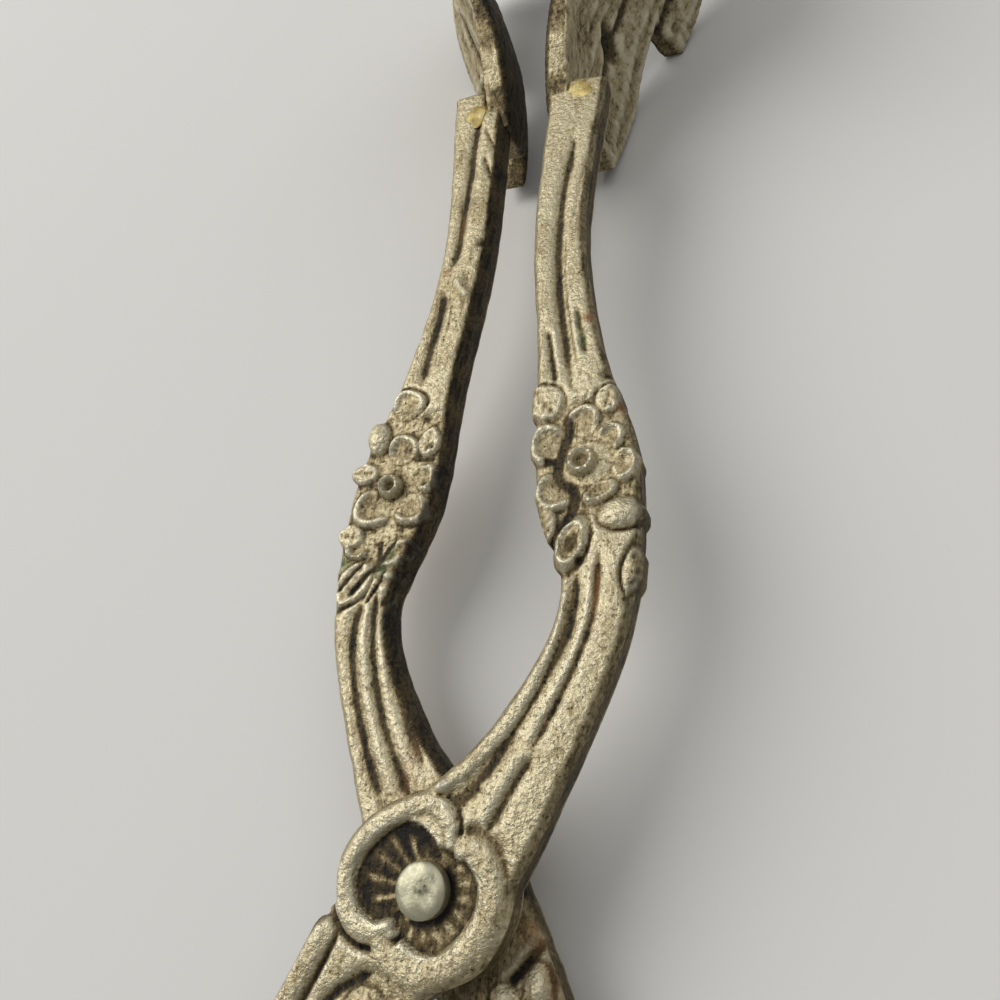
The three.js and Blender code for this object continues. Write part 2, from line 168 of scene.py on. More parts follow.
# Brazed beads: half sizes, and the height of their middle
BEAD_SIZE = {1: (1.4, 1.8, 0.36), -1: (1.15, 1.5, 0.36)}
BEAD_LEVEL = {1: 1.25, -1: 1.24}
BEAD_BACK = 3.3  # from the arm's end to a bead's middle
BEAD_OVERLAP = 0.2  # how far a bead reaches onto the tang

HANDLE_TARNISH = 0.16  # the handles are a little duller than the arms

# Fineness of the meshes
LEVER_STEP = 0.15
GRIP_STEP = 0.28
WALL_ROWS = 5
DOME_ROWS = 24
RIVET_SIDES = 56
BEAD_ROWS = 18
BEAD_SIDES = 28
RIM_STEPS = 5
GROOVE_STEPS = 6


def smoothstep(value, low, high):
    """0 up to a low value, 1 from a high one, smooth between them."""
    share = np.clip((value - low) / (high - low), 0, 1)
    return share * share * (3 - 2 * share)


def fading(value, low, high):
    """1 up to a low value, 0 from a high one, smooth between them."""
    return 1 - smoothstep(value, low, high)


def bell(value, middle, width):
    """1 at a middle value, fading to 0 on both sides of it."""
    return np.exp(-((value - middle) / width) ** 2)


def soft_max(a, b):
    """Larger of two heights, with a rounded corner where they meet."""
    return 0.5 * (a + b + np.sqrt((a - b) ** 2 + MERGE ** 2))


def turned(x, y, at, degrees):
    """Coordinates along and across a direction, measured from a place."""
    angle = math.radians(degrees)
    dx, dy = x - at[0], y - at[1]
    return dx * math.cos(angle) + dy * math.sin(angle), dy * math.cos(angle) - dx * math.sin(angle)


def waves(x, y, length, seed, count=14):
    """Irregular smooth waviness with a spread of about 1."""
    draw = np.random.default_rng(seed)
    total = np.zeros_like(x)
    for _ in range(count):
        heading, phase = draw.uniform(0, 2 * math.pi, 2)
        pace = 2 * math.pi / (length * draw.uniform(0.6, 1.6))
        total += np.sin(pace * (x * math.cos(heading) + y * math.sin(heading)) + phase)
    return total / math.sqrt(count / 2)


# Route of the lever

def smooth_line(places, steps):
    """Points on a smooth curve through places."""
    places = [np.array(p, float) for p in places]
    places = [2 * places[0] - places[1]] + places + [2 * places[-1] - places[-2]]
    rows = []
    for a, b, c, d in zip(places, places[1:], places[2:], places[3:]):
        before, here, after = (math.sqrt(np.linalg.norm(q - p)) for p, q in ((a, b), (b, c), (c, d)))
        start = ((b - a) / before - (c - a) / (before + here) + (c - b) / here) * here
        end = ((c - b) / here - (d - b) / (here + after) + (d - c) / after) * here
        for t in np.linspace(0, 1, steps, endpoint=False):
            cubic = (2 * b - 2 * c + start + end) * t ** 3 + (3 * c - 3 * b - 2 * start - end) * t ** 2
            rows.append(cubic + start * t + b)
    rows.append(places[-2])
    return np.array(rows)


def off_line(x, y, line):
    """Distance from a line of points, and the share along the line of the nearest place."""
    best = np.full_like(x, 1e6)
    share = np.zeros_like(x)
    for k, (a, b) in enumerate(zip(line, line[1:])):
        run = b - a
        along = np.clip(((x - a[0]) * run[0] + (y - a[1]) * run[1]) / (run @ run), 0, 1)
        away = np.hypot(x - a[0] - along * run[0], y - a[1] - along * run[1])
        share = np.where(away < best, (k + along) / (len(line) - 1), share)
        best = np.minimum(best, away)
    return best, share


ROUTE_ASIDE, ROUTE_ALONG, ROUTE_HALF = smooth_line(ROUTE, ROUTE_STEPS)[::-1].T
ROUTE_VALUES = (ROUTE_ASIDE, np.gradient(ROUTE_ASIDE, ROUTE_ALONG), ROUTE_HALF)


def on_route(x, y):
    """Signed distance across the lever from its middle line, and the half width there."""
    foot = np.clip(y, BOW_TOP, ARM_END)
    for _ in range(9):
        middle, slope, half = (np.interp(foot, ROUTE_ALONG, values) for values in ROUTE_VALUES)
        across = ((x - middle) - (y - foot) * slope) / np.sqrt(1 + slope ** 2)
        step = ((x - middle) * slope + (y - foot)) / (1 + slope ** 2)
        foot = np.clip(foot + 0.8 * step, BOW_TOP, ARM_END)
    return across, half


def lever_level(y):
    """How far a lever's middle lies above or below the tongs' mid plane."""
    far = np.where(y > 0, ARM_END, -BOW_TOP)
    return (THICKNESS + LEVER_GAP) / 2 * fading(np.abs(y), FLAT_REACH, far)


def bow_offset(x, y):
    """Signed distance from the bow's oval middle line."""
    a, b = BOW["width"] / 2, BOW["length"] / 2
    u, v = (x - BOW["aside"]) / a, (y - BOW["along"]) / b
    reach = np.maximum(np.hypot(u, v), 1e-6)
    return (reach - 1) * reach / np.maximum(np.hypot(u / a, v / b), 1e-6)


# Cast motifs. Each gives its height above the ground, its signed distance from the outline, and how
# much tarnish and painted shade its own hollows hold.

def oval(x, y, at, size, turn):
    """Coordinates along an oval's axes, and the distance from its middle as a share of its size."""
    u, v = turned(x, y, at, turn)
    return u, v, np.hypot(u / size[0], v / size[1])


def petal(x, y, at, size, turn, height=0.75):
    """Hollow petal: a raised rim round its far side, falling away to its root."""
    u, v, reach = oval(x, y, at, size, turn)
    angle = np.arctan2(v, u)
    reach = reach / (1.06 + 0.06 * np.cos(3 * angle + 5 * at[0]))
    far = smoothstep(np.cos(angle), -0.75, 0.2)
    rim = bell(reach, 0.82, 0.21) * far
    lines = np.cos(11 * angle) * smoothstep(reach, 0.2, 0.6)
    slope = 0.36 + 0.22 * np.clip(u / size[0], -1, 1) + 0.04 * lines
    body = (slope + (1 - slope) * rim) * fading(reach, 0.98, 1.22)
    shade = (0.27 - 0.08 * lines - 0.18 * u / size[0]) * fading(reach, 0.5, 0.8)
    return height * body, (reach - 1.08) * min(size) + 0.3 * (1 - far), np.clip(shade, 0, 1)


def bead(x, y, at, size, turn, height=1.0):
    """Smooth drop."""
    reach = oval(x, y, at, size, turn)[2]
    return height * np.sqrt(np.clip(1 - reach ** 2, 0, 1)), (reach - 1) * min(size), 0 * x


def leaf(x, y, at, size, turn, height=0.75, veins=5):
    """Pointed leaf with a rim, a middle rib and faint slanting veins, along its turned X axis."""
    u, v = turned(x, y, at, turn)
    narrow = np.clip(1 - 0.55 * np.clip(u / size[0], 0, 1) ** 2, 0.05, 1)
    reach = np.hypot(u / size[0], v / (size[1] * narrow))
    slant = (u + 0.8 * np.abs(v)) / (2 * size[0])
    vein = 0.5 + 0.5 * np.cos(2 * math.pi * veins * slant)
    rib = bell(v, 0, 0.13 * size[1])
    rim = bell(reach, 0.86, 0.15)
    full = np.clip(1 - reach ** 4, 0, 1) ** 0.5
    body = full * (0.72 + 0.07 * vein - 0.12 * rib) + 0.18 * rim * (reach < 1.1)
    shade = (0.16 * (1 - vein) + 0.28 * rib) * (1 - rim) * (reach < 1)
    return height * np.clip(body, 0, 1), (reach - 1.05) * min(size), shade


def fan(x, y, at, size, turn, height=0.72):
    """Spread leaf whose folds run out from its root along its turned X axis."""
    u, v = turned(x, y, at, turn)
    reach = np.hypot(2 * u / size[0] - 1, v / size[1])
    fold = 0.5 + 0.5 * np.cos(11 * np.arctan2(v, u + 0.2 * size[0]))
    body = fading(reach, 0.8, 1.1) * (0.6 + 0.4 * fold)
    return height * body, (reach - 1.05) * min(size), 0.5 * (1 - fold) * (reach < 1)


def loop(x, y, at, size, turn, height=0.8):
    """Drop-shaped loop with a hollow."""
    reach = oval(x, y, at, size, turn)[2]
    body = bell(reach, 0.74, 0.24) * fading(reach, 1.0, 1.16)
    return height * body, (reach - 1.08) * min(size), 0.6 * fading(reach, 0.3, 0.55)


def ring(x, y, at, size, turn, height=1.15):
    """Round button with a hollow in its middle."""
    reach = oval(x, y, at, size, turn)[2]
    rim = bell(reach, 0.72, 0.26) + 0.3 * fading(reach, 0.4, 0.7)
    body = np.clip(rim, 0, 1) * fading(reach, 0.92, 1.12)
    return height * body, (reach - 1.05) * min(size), 0.5 * fading(reach, 0.32, 0.52)


# Motifs of each lever's flower: shape, place, sizes, turn, and a height if not the shape's own
FLOWERS = {1: [
    (leaf, (4.7, 33.9), (1.75, 1.5), 130), (petal, (7.9, 31.9), (1.3, 1.2), 90),
    (leaf, (9.7, 33.8), (1.3, 0.95), 75), (petal, (5.5, 30.2), (1.5, 1.55), 165),
    (petal, (6.2, 26.3), (1.45, 1.45), 220), (petal, (9.95, 30.5), (1.0, 0.95), 45),
    (petal, (11.0, 28.3), (1.05, 1.2), 0), (petal, (9.4, 26.3), (0.85, 1.2), -60),
    (bead, (11.1, 24.5), (1.65, 1.25), 5), (leaf, (5.6, 23.9), (1.75, 0.9), -80),
    (loop, (7.7, 22.3), (2.05, 1.1), 75), (leaf, (12.0, 20.3), (1.7, 0.65), -100),
    (bead, (8.35, 28.5), (1.75, 1.75), 0, 0.4), (ring, (8.0, 28.6), (1.15, 1.15), 0),
], -1: [
    (petal, (7.9, 35.9), (1.35, 1.4), 90), (bead, (10.4, 33.1), (1.65, 1.15), 80),
    (petal, (7.9, 31.8), (1.3, 1.3), 90), (leaf, (5.6, 32.5), (1.4, 0.95), 100),
    (leaf, (11.3, 29.9), (1.4, 0.95), 0), (petal, (5.7, 29.3), (1.0, 1.1), 180),
    (petal, (10.0, 26.8), (1.55, 1.6), -40), (petal, (6.5, 26.7), (1.35, 1.35), -130),
    (leaf, (11.7, 24.4), (1.25, 1.1), 10), (petal, (10.9, 23.3), (0.75, 0.9), -60),
    (leaf, (10.7, 20.4), (2.15, 1.35), -60), (fan, (8.8, 21.8), (4.0, 1.9), 165),
    (ring, (8.6, 28.6), (1.05, 1.05), 0),
]}

# Grooves along each lever: places on the line, half width, depth
GROOVES = {1: [
    ([(8.2, 21.0), (8.05, 16.7), (6.8, 13.6), (5.15, 10.7), (3.7, 7.65), (2.3, 5.9)], 0.36, 0.8),
    ([(2.9, 6.6), (2.1, 5.65), (1.2, 5.1), (0.6, 5.35)], 0.52, 0.85),
    ([(1.6, 5.0), (1.85, 4.1), (2.05, 3.2)], 0.2, 0.55),
    ([(2.1, 3.5), (3.3, 3.6), (4.5, 2.7), (5.05, 1.4), (5.1, 0.0)], 0.36, 0.34),
    ([(9.75, 21.5), (9.55, 17.4), (8.75, 14.5), (7.45, 11.3), (6.25, 8.75)], 0.2, 0.45),
    ([(6.15, 8.0), (5.25, 6.6), (4.25, 4.6), (3.7, 3.6)], 0.22, 0.6),
    ([(5.2, 61.5), (4.6, 56.0), (4.55, 51.1), (4.75, 47.0), (5.4, 42.4), (6.85, 35.0)], 0.32, 0.75),
    ([(6.4, 59.5), (5.95, 54.8), (5.7, 51.8)], 0.14, 0.14),
    ([(5.2, 50.5), (5.4, 46.5), (6.0, 42.4), (7.3, 36.0)], 0.13, 0.24),
    ([(6.7, 42.3), (7.2, 40.1), (7.75, 37.9)], 0.2, 0.3),
    ([(4.45, 40.5), (4.95, 38.3), (5.55, 35.4)], 0.19, 0.45),
    ([(-9.0, -10.6), (-10.4, -14.6), (-12.2, -19.5)], 0.3, 0.6),
    ([(-2.6, -4.7), (-4.0, -5.45), (-5.4, -6.6), (-6.9, -8.9), (-8.6, -12.6), (-11.0, -19.5)], 0.26, 0.6),
], -1: [
    ([(9.55, 19.4), (9.95, 16.75), (9.6, 14.25), (8.6, 11.1), (7.15, 7.8), (5.3, 4.3)], 0.36, 0.8),
    ([(8.5, 20.4), (8.3, 16.8), (7.5, 13.35), (6.2, 10.0), (4.65, 7.25), (3.2, 5.0)], 0.3, 0.7),
    ([(7.2, 19.0), (6.9, 16.8), (6.2, 14.2), (5.1, 11.7), (4.0, 9.5), (2.4, 7.0)], 0.34, 0.45),
    ([(11.8, 18.15), (10.7, 18.85), (9.75, 19.4)], 0.2, 0.6),
    ([(6.0, 46.9), (6.15, 44.2), (6.5, 42.2), (7.05, 37.9)], 0.4, 0.8),
    ([(4.75, 67.2), (4.85, 62.8), (4.85, 58.8), (5.05, 54.8), (5.15, 51.4), (5.6, 49.4)], 0.33, 0.65),
    ([(3.75, 61.9), (3.1, 60.1), (2.3, 58.3)], 0.17, 0.35),
    ([(4.0, 65.5), (3.3, 63.9), (2.6, 62.3)], 0.15, 0.25),
    ([(5.0, 45.6), (5.1, 43.6), (5.6, 41.0)], 0.14, 0.2),
    ([(-6.2, -7.0), (-8.2, -11.2), (-12.0, -19.5)], 0.34, 0.75),
    ([(-8.3, -7.0), (-10.0, -11.2), (-13.2, -19.5)], 0.24, 0.5),
]}
BACK_RIDGE = ([(4.9, 48.1), (4.4, 47.1), (3.6, 46.0)], 0.3, 0.28)
# Gaps between the flowers' forms: places on the line, half width, depth
GAPS = {1: [
    (
        [(6.4, 33.0), (6.9, 31.2), (6.45, 29.3), (6.4, 27.3), (7.65, 26.2), (7.6, 24.9), (6.8, 23.2)],
        0.38, 0.45,
    ),
    ([(6.5, 28.8), (5.9, 28.75), (5.1, 28.8)], 0.3, 0.35),
], -1: [
    ([(6.9, 31.0), (6.0, 30.95), (4.9, 30.9)], 0.15, 0.3),
    ([(8.9, 24.2), (8.75, 22.8), (8.6, 21.4)], 0.24, 0.35),
    ([(7.2, 24.2), (8.9, 21.9), (10.9, 19.3)], 0.2, 0.4),
    ([(6.2, 22.6), (7.1, 20.6), (8.0, 18.6)], 0.2, 0.4),
    ([(9.9, 22.3), (11.0, 20.9), (11.9, 19.7)], 0.16, 0.3),
    ([(7.9, 21.6), (8.6, 20.2), (9.3, 18.8)], 0.15, 0.3),
]}
# Small chips and casting holes: place, reach
CHIPS = {1: [
    ((9.5, 35.8), 0.42), ((12.1, 26.5), 0.35), ((8.3, 21.1), 0.28),
], -1: [
    ((2.9, 51.8), 0.5), ((8.1, 42.8), 0.3), ((5.6, 30.5), 0.26), ((5.65, 28.8), 0.24), ((6.15, 34.6), 0.28),
    ((9.15, 23.8), 0.26), ((5.3, 32.0), 0.2), ((6.4, 29.8), 0.18), ((7.1, 24.9), 0.22),
]}
GROOVE_REACH = 1.8


def groove_cut(x, y, places, half, depth):
    """Depth of a groove with sloping sides that thins at its ends, and the share of its floor."""
    line = smooth_line(places, GROOVE_STEPS)
    low, high = line.min(0) - GROOVE_REACH, line.max(0) + GROOVE_REACH
    by = (x > low[0]) & (x < high[0]) & (y > low[1]) & (y < high[1])
    off, share = off_line(x[by], y[by], line)
    thin = 0.45 + 0.55 * smoothstep(np.minimum(share, 1 - share), 0, 0.1)
    floor = np.zeros_like(x)
    floor[by] = thin * (0.62 * bell(off, 0, half * thin) + 0.38 * bell(off, 0, 2.3 * half))
    return depth * floor, floor


RIMS = (UPPER_RIM, LOWER_RIM, INNER_RIM, REED)
for rim in RIMS:
    rim["line"] = smooth_line(rim["crest"], RIM_STEPS)
HANDLE_CREASE = smooth_line([(-6.65, -2.3), (-5.9, -3.4), (-5.1, -4.4)], 4)


def beside(x, y, rim):
    """Distance from the side of a rim."""
    return off_line(x, y, rim["line"])[0] - rim["half"]


def rim_height(x, y, rim):
    """Height of a round rim, thinner at its ends."""
    off, share = off_line(x, y, rim["line"])
    half = rim["half"] * (0.6 + 0.4 * smoothstep(np.minimum(share, 1 - share), 0.0, 0.12))
    bulge = np.sqrt(np.clip(1 - (off / half) ** 2.8, 0, 1))
    return np.where(off < half, rim["foot"] + (rim["top"] - rim["foot"]) * bulge, -9.0)


def room_in(x, y, circle):
    """How far a place lies inside a circle."""
    return circle["radius"] - np.hypot(x - circle["at"][0], y - circle["at"][1])


def rivet_ground(x, y, height, dark):
    """Recesses round the rivet: long flutes in the deep upper one, beads in the shallow lower one."""
    reach, angle = np.hypot(x, y), np.arctan2(y, x)
    ridge = (0.5 + 0.5 * np.cos(FLUTES * (angle - FLUTE_TURN))) ** 2.6
    upward = RECESS_SPLIT[1] * y + RECESS_SPLIT[0] * x
    above, below = room_in(x, y, UPPER_RECESS), room_in(x, y, LOWER_RECESS)
    basin = smoothstep(np.maximum(above, below), -0.15, 0.3)
    height = height + (LAND - height) * basin
    dark = np.maximum(dark, 0.35 * basin)
    clear = smoothstep(reach, 1.7, 1.95)
    deep = smoothstep(above, -0.1, 0.3) * smoothstep(upward, 0.05, 0.5) * clear
    flute = ridge * smoothstep(above, 0.6, 1.2)
    fall = np.clip((reach - 1.65) / 2.8, 0, 1)
    floor = UPPER_RECESS["floor"]
    crest = LAND * (1 - fall) + (floor + 0.4) * fall
    height = height + (floor + (crest - floor) * flute - height) * deep
    uneven = 0.75 + 0.25 * np.sin(3.7 * angle + 1.0)
    dark = dark + (0.94 - 0.86 * flute * uneven - dark) * deep
    shallow = smoothstep(below, -0.05, 0.45) * smoothstep(-upward, 0.05, 0.5)
    drop = ridge * bell(reach, 2.5, 0.42)
    gap = bell(reach, 1.85, 0.22)
    height = height + (LOWER_RECESS["floor"] + 0.6 * drop - 0.4 * gap - height) * shallow
    dark = dark + (np.clip(0.62 - 0.62 * drop + 0.5 * gap, 0, 1) - dark) * shallow
    return height, dark


def with_form(height, dark, form, shade, cover):
    """Adds a raised form and its own shading over a surface."""
    return soft_max(height, form), dark + (shade - dark) * cover


def ring_of_shade(away):
    """Painted shade round the foot of a raised form, with dirt that gathers there."""
    return 0.7 * bell(away, 0.1, 0.18)


def with_boss(x, y, height, dark, boss, ground):
    """Adds a smooth drop over a ground height, with painted shade and dirt round its foot."""
    rise, away, shade = bead(x, y, *boss, BOSS_HEIGHT)
    return with_form(height, np.maximum(dark, ring_of_shade(away)), ground + rise, shade, away < 0)


def rivet_plate(x, y, height, dark):
    """Upper lever round the rivet: recesses, scrolls and reed with their creases, and two drops."""
    height, dark = rivet_ground(x, y, height, dark)
    lower_end = smoothstep(off_line(x, y, UPPER_RIM["line"])[1], 0.62, 0.72)
    crease = bell(beside(x, y, UPPER_RIM), 0.15, 0.2) * lower_end
    height = height - 0.55 * crease * (room_in(x, y, LOWER_RECESS) < 0)
    dark = np.maximum(dark, 0.75 * crease)
    moat = bell(beside(x, y, REED), 0.12, 0.22) * (y < -1.5) * fading(-y, 6.0, 13.0)
    height = height - 0.35 * moat
    dark = np.maximum(dark, 0.58 * moat)
    for rim in RIMS:
        form = rim_height(x, y, rim)
        height, dark = with_form(height, dark, form, rim["shade"], smoothstep(form - height, -0.1, 0.1))
    rise, away, shade = bead(x, y, *SCROLL_BLOB, 0.75)
    height, dark = with_form(height, dark, 0.95 + rise, shade, away < 0)
    return with_boss(x, y, height, dark, FRONT_BOSS, 0.9)


def lever_outline(x, y, tier):
    """Signed distance from a lever's outline, negative inside."""
    across, half = on_route(x, y)
    strip = np.maximum(np.abs(across) - half, np.maximum(y - ARM_TOP[tier], BOW_TOP - y))
    edge = np.minimum(strip, np.abs(bow_offset(x, y)) - BOW["band"] / 2)
    edge = np.minimum(edge, np.hypot(x, y) - HUB_RADIUS)
    if tier > 0:
        plate = [-room_in(x, y, ROUND_PLATE), beside(x, y, UPPER_RIM) - 0.02, beside(x, y, REED)]
        edge = np.min([edge] + plate, axis=0)
    inner, outer = FLOWER_PROUD[tier]
    proud = strip - inner - (outer - inner) * smoothstep(across, -0.5, 0.5)
    for shape, *measures in FLOWERS[tier]:
        edge = np.minimum(edge, np.maximum(shape(x, y, *measures)[1], proud))
    edge = edge + 0.018 * waves(x, y, 2.2, 3 + tier)
    pocket = np.maximum(x - TANG_OUTER + 0.2, TANG_START + 0.2 - y)
    edge = np.maximum(edge, -pocket)
    return np.maximum(edge, BORE - np.hypot(x, y))


def in_flower(y, tier):
    """1 where a lever's flower has its lowered ground, fading to 0."""
    low, high = FLOWER_SPAN[tier]
    return smoothstep(y, low - 0.8, low + 0.8) * fading(y, high - 0.8, high + 0.8)


def bare_front(x, y, tier):
    """A lever's front with its grooves and the band of its bow."""
    across, half = on_route(x, y)
    height = TOP - CROWN[tier] * np.clip(across / half, -1, 1) ** 2
    dark = 0.12 * smoothstep(y, 36, 40) * (tier < 0)
    deepest = np.zeros_like(x)
    for groove in GROOVES[tier]:
        cut, floor = groove_cut(x, y, *groove)
        deepest = np.maximum(deepest, cut)
        dark = np.maximum(dark, 0.8 * smoothstep(floor, 0.4, 0.9) * min(1, groove[2] / 0.5))
    height = height - deepest
    if tier < 0:
        height = height + groove_cut(x, y, *BACK_RIDGE)[0]
    off = bow_offset(x, y) / (BOW["band"] / 2)
    on_bow = (np.abs(off) < 1) & (y < BOW_TOP + 1)
    crease = bell(np.abs(off), 0.45, 0.13)
    height = np.where(on_bow, TOP - 0.5 * off ** 2 - 0.35 * crease, height)
    return height, np.where(on_bow, 0.8 * crease, dark)


def with_flower(x, y, tier, height, dark):
    """Lowers the ground of a lever's flower, and lays its cast forms, pits and gaps over it."""
    near = in_flower(y, tier)
    height = height + (FLOWER_GROUND - height) * near
    dark = dark + (0.1 - dark) * near
    middle = FLOWERS[tier][-1][1]
    dish = near * fading(np.hypot(x - middle[0], y - middle[1]), 1.3, 2.3)
    height = height - 0.25 * dish
    dark = np.maximum(dark, 0.4 * dish)
    motifs = [shape(x, y, *measures) for shape, *measures in FLOWERS[tier]]
    moat = np.max([bell(away, 0.08, 0.16) for _, away, _ in motifs], axis=0)
    covered = np.max([smoothstep(-away, 0.0, 0.15) for _, away, _ in motifs], axis=0)
    height = height - 0.3 * moat * (1 - near) * (1 - covered)
    dark = np.maximum(dark, 0.5 * moat * (1 - covered))
    ground = FLOWER_GROUND * near + 0.9 * (1 - near)
    for rise, away, shade in motifs:
        height, dark = with_form(height, dark, ground + rise, shade, smoothstep(-away, -0.05, 0.15))
    sponge = waves(x, y, 0.5, 71 + tier, 24)
    pitted = near * smoothstep(sponge, *FLOWER_PITS[tier]) * (1 - 0.55 * covered)
    height = height + 0.03 * near * sponge - 0.1 * pitted
    dark = np.maximum(dark, 0.56 * pitted)
    for gap in GAPS[tier]:
        cut, floor = groove_cut(x, y, *gap)
        height = height - cut
        dark = np.maximum(dark, 0.85 * smoothstep(floor, 0.3, 0.75))
    return height, dark


def under_plate(x, y, height, dark):
    """Lower lever round the rivet: shade beside the upper plate, a crease and two bosses."""
    past = -room_in(-x, y, ROUND_PLATE)
    dark = np.maximum(dark, 0.5 * fading(past, 0.2, 2.6) * (0.7 + 0.3 * (y < 0)))
    off = off_line(x, y, HANDLE_CREASE)[0]
    height = height - 0.6 * bell(off, 0, 0.32)
    dark = np.maximum(dark, 0.8 * bell(off, 0, 0.3))
    for boss in BACK_BOSSES:
        height, dark = with_boss(x, y, height, dark, boss, 0.85)
    return height, dark


def lever_front(x, y, tier):
    """Height of a lever's front over its mid plane, and how much tarnish and painted shade lies on it."""
    height, dark = with_flower(x, y, tier, *bare_front(x, y, tier))
    for at, size in CHIPS[tier]:
        chip = np.exp(-((x - at[0]) ** 2 + (y - at[1]) ** 2) / size ** 2)
        height = height - 0.4 * chip
        dark = np.maximum(dark, 0.75 * chip)
    crossing = rivet_plate if tier > 0 else under_plate
    height, dark = crossing(x, y, height, dark)
    rise, away, shade = leaf(x, y, (BOW["aside"], BOW_TOP + 0.6), (3.2, 1.7), 118, 0.9)
    dark = np.maximum(dark, ring_of_shade(away) * (y < BOW_TOP + 6))
    height, dark = with_form(height, dark, 0.9 + rise, shade, away < 0)
    height = height + 0.012 * waves(x, y, 1.1, 21 + tier) + 0.006 * waves(x, y, 0.5, 31 + tier, 20)
    return height, np.clip(dark, 0, 1)


# Meshing: a region of square cells whose border corners are drawn onto an outline

def without_pinches(cells):
    """Drops one of two cells that touch at a corner alone."""
    for _ in range(4):
        a, b = cells[:-1, :-1], cells[1:, 1:]
        c, d = cells[1:, :-1], cells[:-1, 1:]
        falling = a & b & ~c & ~d
        rising = c & d & ~a & ~b
        cells[:-1, :-1][falling] = False
        cells[1:, :-1][rising] = False
    return cells


def to_outline(points, outline, reach):
    """Moves points onto the outline along its slope."""
    tiny = 0.01
    for _ in range(3):
        x, y = points.T
        away = outline(x, y)
        gx = (outline(x + tiny, y) - outline(x - tiny, y)) / (2 * tiny)
        gy = (outline(x, y + tiny) - outline(x, y - tiny)) / (2 * tiny)
        move = np.clip(-away / np.maximum(gx * gx + gy * gy, 0.2), -reach, reach)
        points = points + np.stack([move * gx, move * gy], 1)
    return points


def region(outline, low, high, step):
    """Corners, cells, edges and directed border edges of the space inside an outline."""
    xs = np.arange(low[0], high[0] + step, step)
    ys = np.arange(low[1], high[1] + step, step)
    cx, cy = np.meshgrid(xs[:-1] + step / 2, ys[:-1] + step / 2, indexing="ij")
    cells = without_pinches((outline(cx.ravel(), cy.ravel()) < 0).reshape(cx.shape))
    i, j = np.nonzero(cells)
    stride = len(ys)
    first = i * stride + j
    corners = np.stack([first, first + stride, first + stride + 1, first + 1], 1)
    used, quads = np.unique(corners, return_inverse=True)
    quads = quads.reshape(-1, 4)
    points = np.stack([xs[used // stride], ys[used % stride]], 1)
    starts, ends = quads.ravel(), np.roll(quads, -1, axis=1).ravel()
    lone = ~np.isin(starts * len(points) + ends, ends * len(points) + starts)
    border = np.stack([starts[lone], ends[lone]], 1)
    edges = np.unique(np.sort(np.stack([starts, ends], 1), axis=1), axis=0)
    rim, after = border.T
    inner = np.setdiff1d(np.arange(len(points)), rim)
    previous = np.zeros(len(points), int)
    previous[after] = rim
    for _ in range(5):
        points[rim] = to_outline(points[rim], outline, step)
        points[rim] = 0.5 * points[rim] + 0.25 * (points[after] + points[previous[rim]])
        for axis in (0, 1):
            points[inner, axis] = smoothed(points[:, axis], edges, 3)[inner]
    points[rim] = to_outline(points[rim], outline, step)
    return points, quads, edges, border


def smoothed(values, edges, rounds):
    """Values eased along the edges of a mesh."""
    size = len(values)
    count = np.maximum(np.bincount(edges.ravel(), minlength=size), 1)
    for _ in range(rounds):
        total = np.bincount(edges[:, 0], values[edges[:, 1]], size)
        total = total + np.bincount(edges[:, 1], values[edges[:, 0]], size)
        values = 0.5 * values + 0.5 * total / count
    return values


def relief_solid(points, quads, border, front, back, place, values):
    """Closed solid between two heights over a region, with the values on its front, back and wall."""
    size = len(points)
    rim, after = border.T
    slot = np.zeros(size, int)
    slot[rim] = np.arange(len(rim))
    layers = [place(points, front), place(points, back)]
    rows = [np.arange(size)]
    for k in range(1, WALL_ROWS):
        share = k / WALL_ROWS
        layers.append(place(points[rim], front[rim] * (1 - share) + back[rim] * share))
        rows.append(2 * size + (k - 1) * len(rim) + slot)
    rows.append(size + np.arange(size))
    faces = [quads, size + quads[:, ::-1]]
    for upper, lower in zip(rows, rows[1:]):
        faces.append(np.stack([upper[after], upper[rim], lower[rim], lower[after]], 1))
    layered = {}
    for key, (on_front, on_back, on_wall) in values.items():
        layered[key] = np.concatenate([on_front, on_back] + [on_wall[rim]] * (WALL_ROWS - 1))
    return np.concatenate(layers), np.concatenate(faces).tolist(), layered


# Materials. Noise scales are in waves per metre.

CAST_COLOURS = [
    (0.0, (0.6, 0.54, 0.365, 1)), (0.3, (0.42, 0.35, 0.205, 1)), (0.62, (0.13, 0.095, 0.042, 1)),
    (1.0, (0.01, 0.008, 0.004, 1)),
]
CAST_GLINT_AND_WEAR = (0.76, 0.71, 0.54, 1)
CAST_GREEN = (0.045, 0.085, 0.025, 1)
CAST_COPPER = (0.3, 0.13, 0.045, 1)
RIVET_PALE = (0.5, 0.48, 0.35, 1)
RIVET_CLOUD = (0.32, 0.31, 0.2, 1)
RIVET_STAIN = (0.06, 0.07, 0.035, 1)
BRAZE_COLOURS = [
    (0.35, (0.34, 0.27, 0.12, 1)), (0.52, (0.6, 0.48, 0.2, 1)), (0.68, (0.74, 0.66, 0.36, 1)),
]
FLOOR_COLOUR = (0.78, 0.78, 0.77, 1)
SKY_COLOUR = (0.9, 0.9, 0.9, 1)
SKY_STRENGTH = 0.28


def new_material(name):
    material = bpy.data.materials.new(name)
    material.use_nodes = True
    return material, material.node_tree, material.node_tree.nodes["Principled BSDF"]


def set_inputs(tree, node, inputs):
    """Gives each named input of a node a number, a colour or another node's output."""
    for key, value in inputs.items():
        if isinstance(value, bpy.types.NodeSocket):
            tree.links.new(value, node.inputs[key])
        else:
            node.inputs[key].default_value = value


def add_node(tree, kind, inputs, **settings):
    node = tree.nodes.new(kind)
    for key, value in settings.items():
        setattr(node, key, value)
    set_inputs(tree, node, inputs)
    return node


